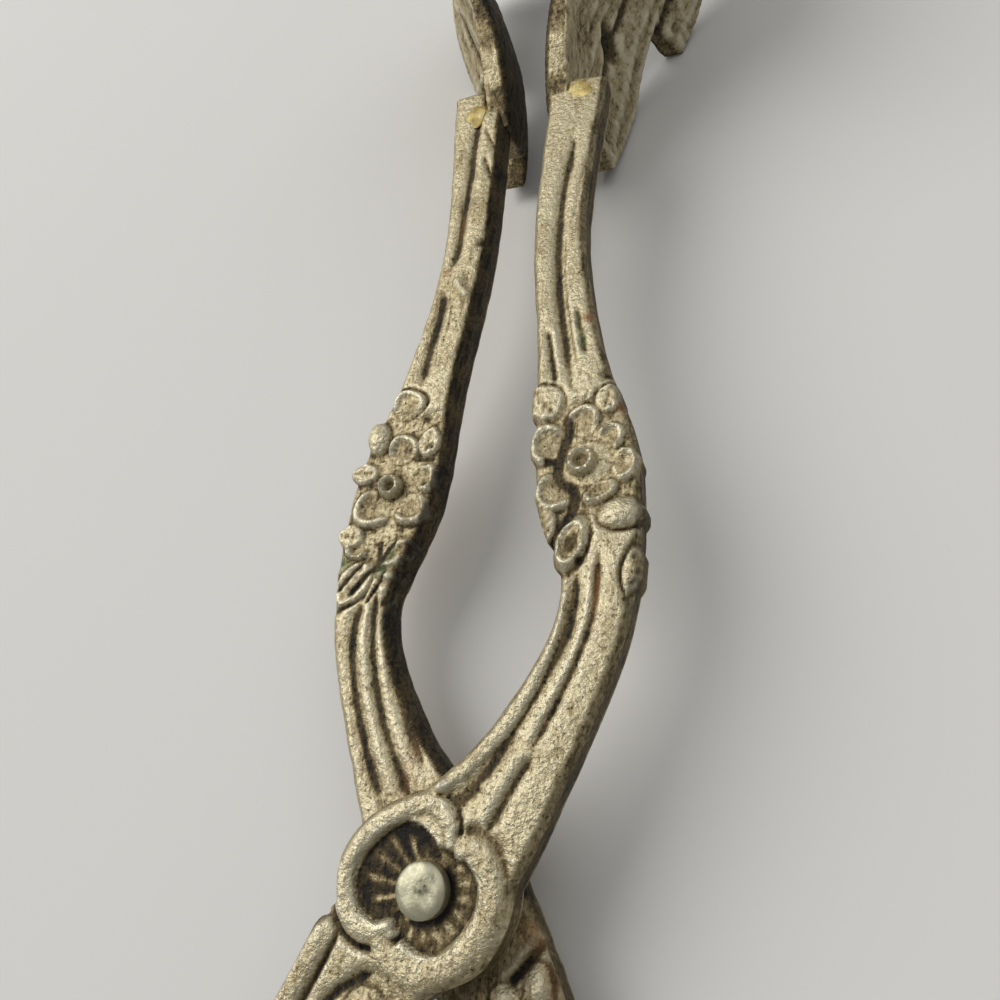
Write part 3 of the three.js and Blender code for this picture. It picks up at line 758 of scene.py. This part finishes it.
def object_place(tree):
    return add_node(tree, "ShaderNodeTexCoord", {}).outputs["Object"]


def value_of(tree, name):
    return add_node(tree, "ShaderNodeAttribute", {}, attribute_name=name).outputs["Fac"]


def noise(tree, place, scale, detail=3.0):
    inputs = {"Vector": place, "Scale": scale, "Detail": detail, "Roughness": 0.55}
    return add_node(tree, "ShaderNodeTexNoise", inputs).outputs["Fac"]


def stretched(tree, place, scale):
    """Coordinates scaled by a different amount along each axis."""
    return add_node(tree, "ShaderNodeMapping", {"Vector": place, "Scale": scale}).outputs["Vector"]


def math_node(tree, operation, a, b, clamp=False):
    return add_node(tree, "ShaderNodeMath", {0: a, 1: b}, operation=operation, use_clamp=clamp).outputs[0]


def spread(tree, value, low, high, out_low, out_high):
    """A value taken from one range to another."""
    inputs = {"Value": value, "From Min": low, "From Max": high, "To Min": out_low, "To Max": out_high}
    return add_node(tree, "ShaderNodeMapRange", inputs).outputs["Result"]


def ramp(tree, factor, stops):
    node = add_node(tree, "ShaderNodeValToRGB", {"Fac": factor})
    bar = node.color_ramp
    while len(bar.elements) < len(stops):
        bar.elements.new(0.5)
    for element, (where, colour) in zip(bar.elements, stops):
        element.position = where
        element.color = colour
    return node.outputs["Color"]


def mix(tree, factor, a, b):
    return add_node(tree, "ShaderNodeMix", {0: factor, 6: a, 7: b}, data_type="RGBA").outputs[2]


def bump(tree, height, strength, depth):
    """Normal of a skin whose relief is a depth in millimetres."""
    inputs = {"Height": height, "Strength": strength, "Distance": depth * MM}
    return add_node(tree, "ShaderNodeBump", inputs).outputs["Normal"]


def cast_metal():
    """Worn nickel-silver casting: sandy skin with painted glints, bright crests, and brown-black tarnish
    with painted shade in the hollows.
    """
    material, tree, shader = new_material("cast_metal")
    place = object_place(tree)
    pits = spread(tree, noise(tree, place, 3600, 2.0), 0.6, 0.74, 0.0, 1.0)
    stain = noise(tree, place, 420, 4.0)
    sand = noise(tree, place, 3000)
    grain = noise(tree, place, 6500)
    streaks = noise(tree, stretched(tree, place, (2600, 300, 2600)), 1)
    strokes = noise(tree, stretched(tree, place, (150, 2600, 150)), 1, 2.0)
    # darkness painted from the meshes: tarnish, with painted shade in hollows, on walls and beside the
    # upper plate
    tarnish_and_shade = value_of(tree, "tarnish_and_shade")
    dark = math_node(tree, "ADD", tarnish_and_shade, math_node(tree, "MULTIPLY", pits, 0.34))
    dark = math_node(tree, "ADD", dark, spread(tree, sand, 0.35, 0.65, 0.1, -0.1))
    dark = math_node(tree, "ADD", dark, spread(tree, streaks, 0.5, 0.72, -0.04, 0.26))
    dark = math_node(tree, "ADD", dark, spread(tree, stain, 0.3, 0.7, -0.12, 0.16), True)
    # painted glints: bright specks from the sand noise; the worn crests join them below
    painted_glint_and_wear = math_node(tree, "SUBTRACT", spread(tree, sand, 0.56, 0.7, 0.0, 0.6), tarnish_and_shade, True)
    painted_glint_and_wear = math_node(tree, "MAXIMUM", painted_glint_and_wear, value_of(tree, "wear"))
    colour = mix(tree, painted_glint_and_wear, ramp(tree, dark, CAST_COLOURS), CAST_GLINT_AND_WEAR)
    colour = mix(tree, value_of(tree, "verdigris"), colour, CAST_GREEN)
    colour = mix(tree, value_of(tree, "copper"), colour, CAST_COPPER)
    dull = spread(tree, dark, 0.0, 1.0, 0.48, 0.68)
    filed = math_node(tree, "MULTIPLY", value_of(tree, "filed"), strokes)
    skin = math_node(tree, "ADD", sand, math_node(tree, "MULTIPLY", grain, 0.35))
    skin = math_node(tree, "SUBTRACT", skin, math_node(tree, "MULTIPLY", pits, 0.4))
    set_inputs(tree, shader, {
        "Base Color": colour,
        "Metallic": spread(tree, dark, 0.1, 1.0, 1.0, 0.35),
        "Roughness": math_node(tree, "ADD", dull, spread(tree, grain, 0.3, 0.7, -0.06, 0.08)),
        "Normal": bump(tree, math_node(tree, "ADD", skin, filed), 0.85, 0.16),
    })
    return material


def rivet_metal():
    """Pale rivet with cloudy patches, a fine grain and a stain."""
    material, tree, shader = new_material("rivet_metal")
    place = object_place(tree)
    cloud = spread(tree, noise(tree, place, 900, 4.0), 0.5, 0.75, 0.0, 0.45)
    grain = noise(tree, place, 5200)
    flecks = spread(tree, noise(tree, place, 2600, 2.0), 0.45, 0.62, 0.1, 1.0)
    blotch = math_node(tree, "MULTIPLY", value_of(tree, "stain"), flecks)
    set_inputs(tree, shader, {
        "Base Color": mix(tree, blotch, mix(tree, cloud, RIVET_PALE, RIVET_CLOUD), RIVET_STAIN),
        "Metallic": 0.75,
        "Roughness": spread(tree, grain, 0.3, 0.7, 0.36, 0.52),
        "Normal": bump(tree, grain, 0.4, 0.05),
    })
    return material


def braze_metal():
    """Yellow brazing metal that ran and set with a wrinkled skin."""
    material, tree, shader = new_material("braze_metal")
    place = object_place(tree)
    grain = noise(tree, place, 4200)
    set_inputs(tree, shader, {
        "Base Color": ramp(tree, noise(tree, place, 900, 4.0), BRAZE_COLOURS),
        "Metallic": 1.0,
        "Roughness": spread(tree, grain, 0.3, 0.7, 0.52, 0.7),
        "Normal": bump(tree, grain, 0.7, 0.12),
    })
    return material


def add_object(name, data):
    thing = bpy.data.objects.new(name, data)
    bpy.context.scene.collection.objects.link(thing)
    return thing


def add_piece(name, points, faces, slot, body, node, values=None, side=1):
    """Mesh in the object's own frame that rides on a body and stands for a node."""
    turn = np.array(to_world)
    placed = points @ turn[:3, :3].T + turn[:3, 3]
    if side < 0:
        faces = [face[::-1] for face in faces]
    mesh = bpy.data.meshes.new(name)
    mesh.from_pydata(placed.tolist(), [], faces)
    mesh.update()
    for key, numbers in (values or {}).items():
        mesh.attributes.new(key, "FLOAT", "POINT").data.foreach_set("value", numbers.astype(np.float32))
    mesh.shade_smooth()
    mesh.set_sharp_from_angle(angle=math.radians(55))
    mesh.materials.append(FINISH[slot])
    piece = add_object(name, mesh)
    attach(piece, body)
    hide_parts(node)


# Spots on each lever: place, reach along x and y, strength
VERDIGRIS = {1: [
    ((6.95, 41.2), (0.24, 0.9), 0.8), ((7.4, 39.2), (0.26, 0.9), 0.85), ((12.0, 17.6), (0.35, 0.9), 0.6),
], -1: [
    ((8.3, 21.7), (0.6, 0.6), 0.9), ((7.6, 22.7), (0.35, 0.8), 0.75), ((11.9, 22.2), (0.6, 0.5), 0.9),
]}
COPPER = {1: [
    ((7.7, 41.3), (0.4, 0.45), 0.9), ((9.65, 19.0), (0.22, 2.0), 0.55), ((10.6, 33.0), (0.3, 0.35), 0.6),
], -1: [
    ((6.0, 49.0), (0.5, 0.5), 0.65), ((5.0, 54.0), (0.25, 1.0), 0.4), ((-6.2, -1.8), (1.2, 0.9), 0.4),
    ((3.6, 6.8), (0.5, 2.0), 0.3), ((-7.6, -4.0), (0.6, 1.6), 0.25),
]}


def spots(x, y, places):
    """Strength of a lever's spots."""
    total = np.zeros_like(x)
    for at, size, strength in places:
        fade = np.exp(-((x - at[0]) / size[0]) ** 2 - ((y - at[1]) / size[1]) ** 2)
        total = np.maximum(total, strength * fade)
    return total


def hollows(height, edges):
    """Darkness where a surface lies below its surroundings, as tarnish and painted shade; wear where it
    stands above them.
    """
    near = smoothed(height, edges, 14) - height
    wide = smoothed(height, edges, 110) - height
    tarnish_and_shade = np.clip(near / 0.14, 0, 1) * 0.42 + np.clip(wide / 0.5, 0, 1) * 0.36
    wear = np.clip(-near / 0.09 - 0.2, 0, 1)
    return tarnish_and_shade, wear


def lever(name, node, body, tier):
    """A whole lever in one solid, flat at the back, mirrored for the lower one."""
    def outline(x, y):
        return lever_outline(x, y, tier)

    def placed(where, height):
        raised = height + tier * lever_level(where[:, 1])
        return np.stack([tier * where[:, 0], where[:, 1], raised], 1)

    low = (BOW["aside"] - BOW["width"] / 2 - BOW["band"], BOW["along"] - BOW["length"] / 2 - BOW["band"])
    points, quads, edges, border = region(outline, low, (ARM_REACH, ARM_END + 1), LEVER_STEP)
    x, y = points.T
    inside = np.clip(-outline(x, y), 0, None)
    front, dark = lever_front(x, y, tier)
    back = BOTTOM + BACK_LIFT * np.clip(1 - inside / BACK_ROUND, 0, 1) ** 2
    tarnish_and_shade, wear = hollows(front, edges)
    tarnish_and_shade = tarnish_and_shade * (1 - FLOWER_CLEAN[tier] * in_flower(y, tier))
    tarnish_and_shade = tarnish_and_shade + HANDLE_TARNISH * fading(y, -6, -2)
    tarnish_and_shade = np.maximum(dark, np.clip(tarnish_and_shade + 0.4 * dark, 0, 1))
    outward = smoothstep(on_route(x, y)[0] * (2 * smoothstep(y, -4, 4) - 1), -0.6, 0.6)

    def by_side(pair):
        return pair[0] + (pair[1] - pair[0]) * outward

    bevel = np.clip(1 - inside / by_side(EDGE_WIDTH[tier]), 0, 1)
    front = front - by_side(EDGE_DROP[tier]) * bevel ** 1.2
    # painted shade on the sloping edges, darkest on the sides turned away from the key light
    edge_painted_shade = by_side(EDGE_PAINTED_SHADE[tier])
    on_edge = smoothstep(bevel, 0.02, 0.3)
    tarnish_and_shade = np.maximum(tarnish_and_shade, edge_painted_shade * on_edge)
    wear = wear * (1 - dark) * (1 - edge_painted_shade * on_edge)
    none = np.zeros(len(points))
    values = {
        # painted shade: walls are painted darker than the front, darkest on the sides turned away from the
        # key light
        "tarnish_and_shade": (tarnish_and_shade, none + 0.3, 0.6 + 0.3 * edge_painted_shade),
        "wear": (wear, none, none),
        "verdigris": (spots(x, y, VERDIGRIS[tier]), none, none),
        "copper": (spots(x, y, COPPER[tier]), none, none),
    }
    solid, faces, values = relief_solid(points, quads, border, front, back, placed, values)
    add_piece(name, solid, faces, "cast_metal", body, node, values, tier)


# Grips

def ellipse_reach(angle):
    """Distance from the ribs' start to the ellipse round the leaf, in a direction."""
    y, z = np.cos(angle) / (LEAF_LENGTH / 2), np.sin(angle) / (LEAF_WIDTH / 2)
    behind = (RIB_START - LEAF_MIDDLE) / (LEAF_LENGTH / 2)
    a, b = y * y + z * z, y * behind
    return (-b + np.sqrt(b * b + a * (1 - behind * behind))) / a


def past_tip(angle, reach, tip):
    """Distance past the straight back edge that leads from the ribs' start to a tip."""
    off = np.sign(tip) * (angle - math.radians(tip))
    return reach * np.sin(np.clip(off, -math.pi / 2, math.pi / 2))


def leaf_outline(y, z):
    """Signed distance from the leaf's outline: middle blade, leaflets and straight upper edge."""
    angle, reach = np.arctan2(z, y - RIB_START), np.hypot(y - RIB_START, z)
    whole = ellipse_reach(angle)
    edge = np.max([reach - whole] + [past_tip(angle, reach, tip) for tip in BLADE_TIPS], axis=0)
    for front, tip, notch, share in LEAFLETS:
        along = np.clip((np.degrees(angle) - front) / (tip - front), 0, 1)
        leaflet = reach - whole * (notch + (share - notch) * np.sqrt(along))
        if tip < 0:
            leaflet = np.maximum(leaflet, past_tip(angle, reach, tip))
        edge = np.minimum(edge, leaflet)
    ahead, up = y - NOTCH["at"][0], z - NOTCH["at"][1]
    notch = np.maximum(ahead, (up - NOTCH["rise"] * ahead) / math.hypot(1, NOTCH["rise"]))
    edge = np.maximum(edge, -notch)
    over = (z - TANG_HALF - LEAF_RISE * (y - TANG_START)) / math.hypot(1, LEAF_RISE)
    return np.maximum(edge, over)


def grip_outline(y, z):
    """Signed distance from a grip's outline: leaf and tang, less the piercings."""
    tang = np.maximum(np.abs(z) - TANG_HALF, np.maximum(TANG_START - y, y - TANG_END))
    edge = np.minimum(leaf_outline(y, z), tang)
    size = (PIERCING["length"] / 2, PIERCING["width"] / 2)
    for turn in PIERCING["turns"]:
        heading = math.radians(turn)
        far = PIERCING["reach"] * ellipse_reach(heading)
        at = (RIB_START + far * math.cos(heading), far * math.sin(heading))
        hole = oval(y, z, at, size, turn)[2]
        edge = np.maximum(edge, (1 - hole) * min(size))
    return edge


def cup_face(y, z):
    """How far the leaf's inner face stands from the plane between the grips."""
    share = np.clip((y - ARM_END) / (LEAF_TIP - ARM_END), 0, 1)
    curl = EDGE_CURL * (2 * z / LEAF_WIDTH) ** 2
    return TANG_INNER + CUP_DEPTH * np.sin(math.pi * share ** CUP_SKEW) + curl


def leaf_relief(y, z, inside):
    """Share of leaf against tang, height of folds and ribs, and where the folds crest and crease."""
    angle, reach = np.arctan2(z, y - RIB_START), np.hypot(y - RIB_START, z)
    leafy = smoothstep(y, RIB_START - 4.5, RIB_START + 2.0)
    leafy = np.maximum(leafy, smoothstep(-z, TANG_HALF - 0.3, TANG_HALF + 1.6))
    across = np.sqrt(z ** 2 + 0.4) + CREASE_SWEEP * np.clip(y - RIB_START - 1.5, 0, None)
    lobe = math.pi * (np.interp(across, CREASES, range(len(CREASES))) - 0.5)
    crest = bell(np.sin(lobe) * CREASES[1] / math.pi, 0, 0.6)
    share = np.clip(reach / ellipse_reach(angle), 0, 1)
    calm = 1 - smoothstep(angle, -0.1, 0.4) * fading(inside, 0.3, 1.8)
    fold = np.abs(np.cos(lobe)) ** 0.8 + 0.07 * np.cos(6 * lobe)
    rim = bell(inside, 0.6, 0.45)
    relief = leafy * (np.sqrt(share) * calm * fold + 0.15 * crest * (1 - share) + 0.16 * rim)
    middle_rib = bell(z, 0, 0.9) * smoothstep(y, RIB_START, RIB_START + 6)
    crease = bell(np.cos(lobe), 0, 0.3) * leafy * calm
    return leafy, relief + 0.45 * middle_rib, crest, crease


def grip(name, node, body, side):
    """Cupped leaf with swept folds, a hollow and a raised rim, in one solid with its tang."""
    low, high = (TANG_START - 1, -LEAF_WIDTH / 2 - 1), (LEAF_TIP + 1, LEAF_WIDTH / 2 + 1)
    points, quads, edges, border = region(grip_outline, low, high, GRIP_STEP)
    y, z = points.T
    inside = np.clip(-grip_outline(y, z), 0, None)
    leafy, relief, crest, crease = leaf_relief(y, z, inside)
    thick = (TANG_OUTER - TANG_INNER) * (1 - leafy) + LEAF_THICKNESS * leafy
    hollow = fading(oval(y, z, HOLLOW["at"], HOLLOW["size"], HOLLOW["turn"])[2], 0.3, 1.25)
    outer = thick + relief - HOLLOW["depth"] * hollow + 0.03 * waves(y, z, 1.3, 41)
    inner = 0.02 * waves(y, z, 1.6, 43) - 0.1 * leafy * crest
    tarnish_and_shade, wear = hollows(outer, edges)
    # tarnish with painted shade, most in the leaf's hollow and creases
    tarnish_and_shade = np.max([0.7 * tarnish_and_shade + 0.26, 0.95 * hollow, 0.8 * crease], axis=0)
    inner_shade_and_tarnish, inner_wear = hollows(-inner, edges)
    # painted shade: the inner face is painted dark, darkest near the tang, where the two grips shade each
    # other
    inner_shade_and_tarnish = inner_shade_and_tarnish + 0.8 - 0.35 * smoothstep(y, 86, 102)
    filed = smoothstep(z, 0.4, 1.2) * smoothstep(y, FILED[0] - 0.4, FILED[0] + 0.4)
    filed = filed * fading(y, FILED[1] - 0.4, FILED[1] + 0.4)
    drop = 0.22 * np.clip(1 - inside / 0.4, 0, 1) ** 2

    def placed(where, height):
        aside = cup_face(where[:, 0], where[:, 1]) + height
        return np.stack([side * aside, where[:, 0], where[:, 1]], 1)

    none = np.zeros(len(points))
    values = {
        "tarnish_and_shade": (np.clip(tarnish_and_shade, 0, 1), np.clip(inner_shade_and_tarnish, 0, 1), 0.52 - 0.4 * filed),
        "wear": (wear * 0.7, inner_wear * 0.2, none),
        "filed": (none, none, filed),
    }
    solid, faces, values = relief_solid(points, quads, border, outer - drop, inner + drop, placed, values)
    add_piece(name, solid, faces, "cast_metal", body, node, values, side)


# Rivet and brazed beads

def lathe(profile, sides):
    """Closed turned solid from radius and height pairs that start and end on the axis."""
    points = [(0.0, 0.0, profile[0][1])]
    for radius, height in profile[1:-1]:
        for k in range(sides):
            turn = 2 * math.pi * k / sides
            points.append((radius * math.cos(turn), radius * math.sin(turn), height))
    points.append((0.0, 0.0, profile[-1][1]))
    last = len(points) - 1
    faces = []
    for k in range(sides):
        after = (k + 1) % sides
        faces.append((0, 1 + after, 1 + k))
        for here in range(1, last - sides, sides):
            faces.append((here + k, here + after, here + sides + after, here + sides + k))
        faces.append((last - sides + k, last - sides + after, last))
    return np.array(points), faces


def dome(radius, base, crown, up):
    """Points of a low domed head from its rim to just short of the axis."""
    rows = []
    for k in range(DOME_ROWS):
        angle = math.pi / 2 * k / DOME_ROWS
        rows.append((radius * math.cos(angle) ** 0.6, base + up * crown * math.sin(angle)))
    return rows


def rivet():
    """Pin through both levers, with a low dented head and a peened tail."""
    seat = LEVER_GAP / 2 + THICKNESS - HEAD_SINK
    tail = -(LEVER_GAP / 2 + THICKNESS + TAIL_GAP)
    head = dome(HEAD_RADIUS, seat + HEAD_SIDE, HEAD_CROWN, 1)
    foot = dome(TAIL_RADIUS, tail - TAIL_SIDE, TAIL_CROWN, -1)
    profile = [(0, foot[-1][1] - 0.01)] + foot[::-1]
    profile += [(TAIL_RADIUS, tail), (SHANK_RADIUS, tail), (SHANK_RADIUS, seat)]
    profile += [(HEAD_RADIUS - 0.06, seat), (HEAD_RADIUS, seat + 0.1)]
    profile += head + [(0, head[-1][1] + 0.01)]
    points, faces = lathe(profile, RIVET_SIDES)
    x, y, z = points.T
    on_head = z > seat + HEAD_SIDE / 2
    points[:, 2] += np.where(on_head, 0.025 * waves(x, y, 1.5, 51), 0)
    stain = fading(oval(x, y, STAIN["at"], STAIN["size"], STAIN["turn"])[2], 0.3, 1.2)
    values = {"stain": 0.95 * stain * on_head}
    add_piece("rivet", points, faces, "rivet_metal", "back_half", "pivot_rivet", values)


def braze(name, node, body, side):
    """Bead that covers the arm's end and the corner beside the tang, with an uneven skin."""
    turns = [math.pi * k / BEAD_ROWS for k in range(BEAD_ROWS + 1)]
    points, faces = lathe([(math.sin(turn), -math.cos(turn)) for turn in turns], BEAD_SIDES)
    lump = 1 + 0.09 * waves(points[:, 0] + 2 * points[:, 2], points[:, 1] - points[:, 2], 1.4, 61)
    size = BEAD_SIZE[side]
    middle = (TANG_OUTER + size[0] - BEAD_OVERLAP, ARM_END - BEAD_BACK, BEAD_LEVEL[side])
    points = points * lump[:, None] * size + middle
    points[:, 0] *= side
    add_piece(name, points, faces, "braze_metal", body, node, side=side)


FINISH = {"cast_metal": cast_metal(), "rivet_metal": rivet_metal(), "braze_metal": braze_metal()}
lever("front_lever_cast", "front_lever", "front_half", 1)
lever("back_lever_cast", "back_lever", "back_half", -1)
grip("front_grip_leaf", "front_grip", "front_half", 1)
grip("back_grip_leaf", "back_grip", "back_half", -1)
braze("front_bead", "front_braze", "front_half", 1)
braze("back_bead", "back_braze", "back_half", -1)
rivet()


# Stage: pale floor, soft light, camera at the photograph's angle

def floor():
    mesh = bpy.data.meshes.new("floor")
    reach = 3.0
    corners = [(-reach, -reach, 0), (reach, -reach, 0), (reach, reach, 0), (-reach, reach, 0)]
    mesh.from_pydata(corners, [], [(0, 1, 2, 3)])
    material, tree, shader = new_material("floor_paper")
    set_inputs(tree, shader, {"Base Color": FLOOR_COLOUR, "Roughness": 0.9})
    mesh.materials.append(material)
    sheet = add_object("floor", mesh)


def soft_box(name, towards, distance, size, power, colour):
    """Area light in a direction from the rivet, facing it."""
    light = bpy.data.lights.new(name, "AREA")
    light.shape = "DISK"
    light.size = size
    light.energy = power
    light.color = colour
    lamp = add_object(name, light)
    aim = Vector(towards).normalized()
    lamp.location = aim * distance
    lamp.rotation_euler = aim.to_track_quat("Z", "Y").to_euler()


CAMERA_PLACE = Vector((21.976, 3.889, 51.764))
CAMERA_LOOK = Vector((-0.34571, 0.38219, -0.85698))
CAMERA_ROLL = math.radians(6.098)
CAMERA_LENS = 28.461
CAMERA_SENSOR = 36


def camera():
    lens = bpy.data.cameras.new("camera")
    lens.lens = CAMERA_LENS
    lens.sensor_width = CAMERA_SENSOR
    lens.clip_start = 0.002
    view = add_object("camera", lens)
    right = CAMERA_LOOK.cross(Vector((0, 1, 0))).normalized()
    level = Matrix((right, right.cross(CAMERA_LOOK), -CAMERA_LOOK)).transposed()
    turn = Matrix.Rotation(tilt, 3, "X") @ level @ Matrix.Rotation(CAMERA_ROLL, 3, "Z")
    view.matrix_world = Matrix.Translation(to_world @ CAMERA_PLACE) @ turn.to_4x4()
    bpy.context.scene.camera = view


def world():
    shade = bpy.data.worlds.new("studio")
    shade.use_nodes = True
    tree = shade.node_tree
    set_inputs(tree, tree.nodes["Background"], {"Color": SKY_COLOUR, "Strength": SKY_STRENGTH})
    bpy.context.scene.world = shade


floor()
soft_box("key", (-0.65, 0.2, 0.75), distance=1.5, size=1.4, power=15.0, colour=(1.0, 0.97, 0.92))
soft_box("fill", (0.3, 0.5, 0.8), distance=1.0, size=1.2, power=2.0, colour=(1.0, 0.98, 0.96))
camera()
world()
bpy.context.scene.view_settings.view_transform = "Standard"
